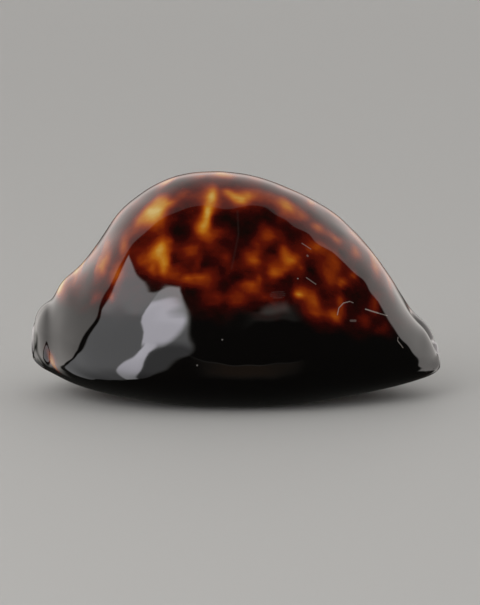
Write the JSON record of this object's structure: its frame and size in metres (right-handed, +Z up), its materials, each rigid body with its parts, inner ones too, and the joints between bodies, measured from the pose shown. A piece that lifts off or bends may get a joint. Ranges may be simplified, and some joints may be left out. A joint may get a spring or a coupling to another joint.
{
  "type": "thersites cowry shell",
  "caption": "Humped, glossy cowry shell with toothed lips along a slit aperture, resting on a small flat spot of its base.",
  "frame": {"origin": "middle of the shell's box, at the surface that it rests on", "axes": "+X towards the anterior end, -Y towards the labral (outer lip) side, +Z up through the humped back"},
  "size_m": [0.0802, 0.0541, 0.0438],
  "materials": {
    "shell": "natural high gloss; amber windows in a dark red-brown net over the back, blackish brown margins and base"
  },
  "bodies": {
    "root": {"shell": "shell"}
  },
  "joints": []
}
